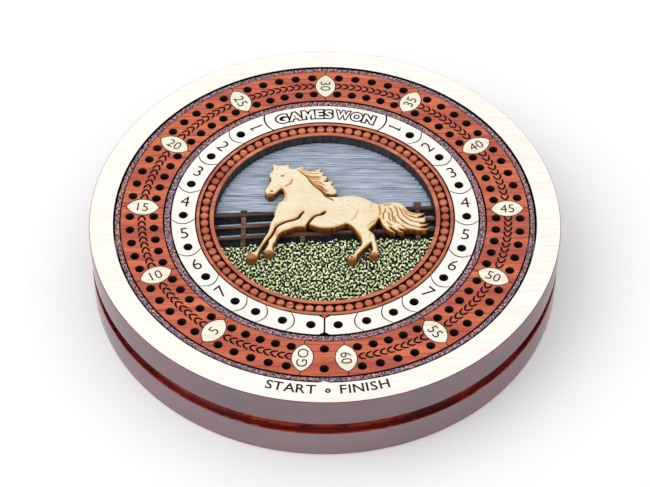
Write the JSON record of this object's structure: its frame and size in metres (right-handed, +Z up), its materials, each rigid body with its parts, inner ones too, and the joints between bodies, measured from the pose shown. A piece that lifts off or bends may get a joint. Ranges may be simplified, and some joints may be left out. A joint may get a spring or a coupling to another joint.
{
  "type": "cribbage board",
  "caption": "Round cribbage board with an inlaid swivelling lid, peg-hole track, games ring and sunk horse relief over a base that stores cards and pegs.",
  "frame": {"origin": "centre of the underside of the base, on the surface the board rests on", "axes": "+Z up through the middle of the discs, -Y towards the player at the START and FINISH side, +Y towards the swivel pivot"},
  "size_m": [0.254, 0.254, 0.044],
  "materials": {
    "lacquered_bloodwood": "high-gloss lacquer",
    "bloodwood": "satin oil",
    "maple": "satin",
    "marker_maple": "satin",
    "stippled_channel": "matt, stippled",
    "blackened_wood": "matt black stain",
    "sky_stained_wood": "matt blue-grey stain, fine combed grain",
    "fence_wood": "matt brown",
    "grass_stained_wood": "matt green stain over black, deeply stippled",
    "horse_wood": "satin, toasted edges",
    "peg_brass": "polished",
    "peg_steel": "polished",
    "bolt_steel": "zinc plated",
    "insert_brass": "turned",
    "bushing_bronze": "oil-soaked bronze",
    "washer_nylon": "natural nylon",
    "magnet_nickel": "nickel plated"
  },
  "bodies": {
    "base": {"base_body": "lacquered_bloodwood", "pivot_bushing": "bushing_bronze", "pivot_washer": "washer_nylon", "base_magnets": "magnet_nickel", "brass_peg_1": "peg_brass", "brass_peg_2": "peg_brass", "brass_peg_3": "peg_brass", "steel_peg_1": "peg_steel", "steel_peg_2": "peg_steel", "steel_peg_3": "peg_steel"},
    "lid": {"lid_core": "lacquered_bloodwood", "lid_edge_band": "lacquered_bloodwood", "maple_rim": "maple", "outer_channel": "stippled_channel", "inner_channel": "stippled_channel", "track_segment_01": "bloodwood", "track_segment_02": "bloodwood", "track_segment_03": "bloodwood", "track_segment_04": "bloodwood", "track_segment_05": "bloodwood", "track_segment_06": "bloodwood", "track_segment_07": "bloodwood", "track_segment_08": "bloodwood", "track_segment_09": "bloodwood", "track_segment_10": "bloodwood", "track_segment_11": "bloodwood", "track_segment_12": "bloodwood", "finish_segment": "bloodwood", "marker_go": "marker_maple", "marker_05": "marker_maple", "marker_10": "marker_maple", "marker_15": "marker_maple", "marker_20": "marker_maple", "marker_25": "marker_maple", "marker_30": "marker_maple", "marker_35": "marker_maple", "marker_40": "marker_maple", "marker_45": "marker_maple", "marker_50": "marker_maple", "marker_55": "marker_maple", "marker_60": "marker_maple", "games_plaque": "maple", "games_arc_left": "maple", "games_arc_right": "maple", "bead_ring": "bloodwood", "bead_strand": "bloodwood", "well_backer": "blackened_wood", "sky_panel": "sky_stained_wood", "fence": "fence_wood", "grass_panel": "grass_stained_wood", "horse": "horse_wood", "lid_magnets": "magnet_nickel", "pivot_insert": "insert_brass", "pivot_bolt": "bolt_steel"}
  },
  "joints": [
    {"name": "lid_swivel", "type": "hinge", "parent": "base", "child": "lid", "pos_m": [0, 0.0987, 0.0258], "axis": [0, 0, 1], "continuous": true}
  ]
}
